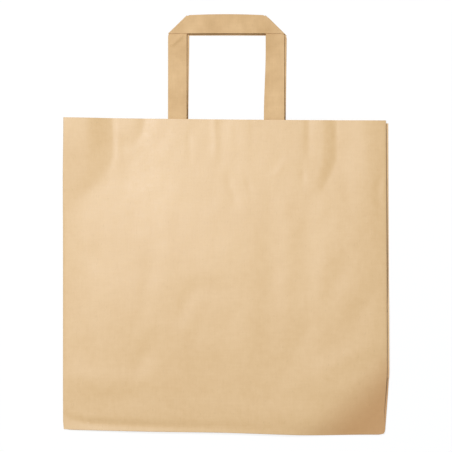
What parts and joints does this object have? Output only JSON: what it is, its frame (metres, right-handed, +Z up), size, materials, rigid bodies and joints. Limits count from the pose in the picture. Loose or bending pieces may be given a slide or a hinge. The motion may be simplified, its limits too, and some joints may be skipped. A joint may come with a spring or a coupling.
{
  "type": "paper bag",
  "caption": "Kraft paper carrier bag with flat folded paper handles and a block bottom, folded flat and lying on its back.",
  "frame": {"origin": "middle of the whole footprint, on the surface that the bag lies on", "axes": "+X to the right of the front panel, +Y from the bottom towards the handles, +Z up, out of the front panel"},
  "size_m": [0.3202, 0.4198, 0.0108],
  "materials": {
    "bag_kraft": "matt natural kraft paper with fine fibres, softly dented",
    "handle_kraft": "matt kraft paper in glued plies, a little darker than the bag",
    "patch_kraft": "matt kraft paper"
  },
  "bodies": {
    "root": {"bag_body": "bag_kraft", "front_handle": "handle_kraft", "back_handle": "handle_kraft", "front_patch": "patch_kraft", "back_patch": "patch_kraft"}
  },
  "joints": []
}
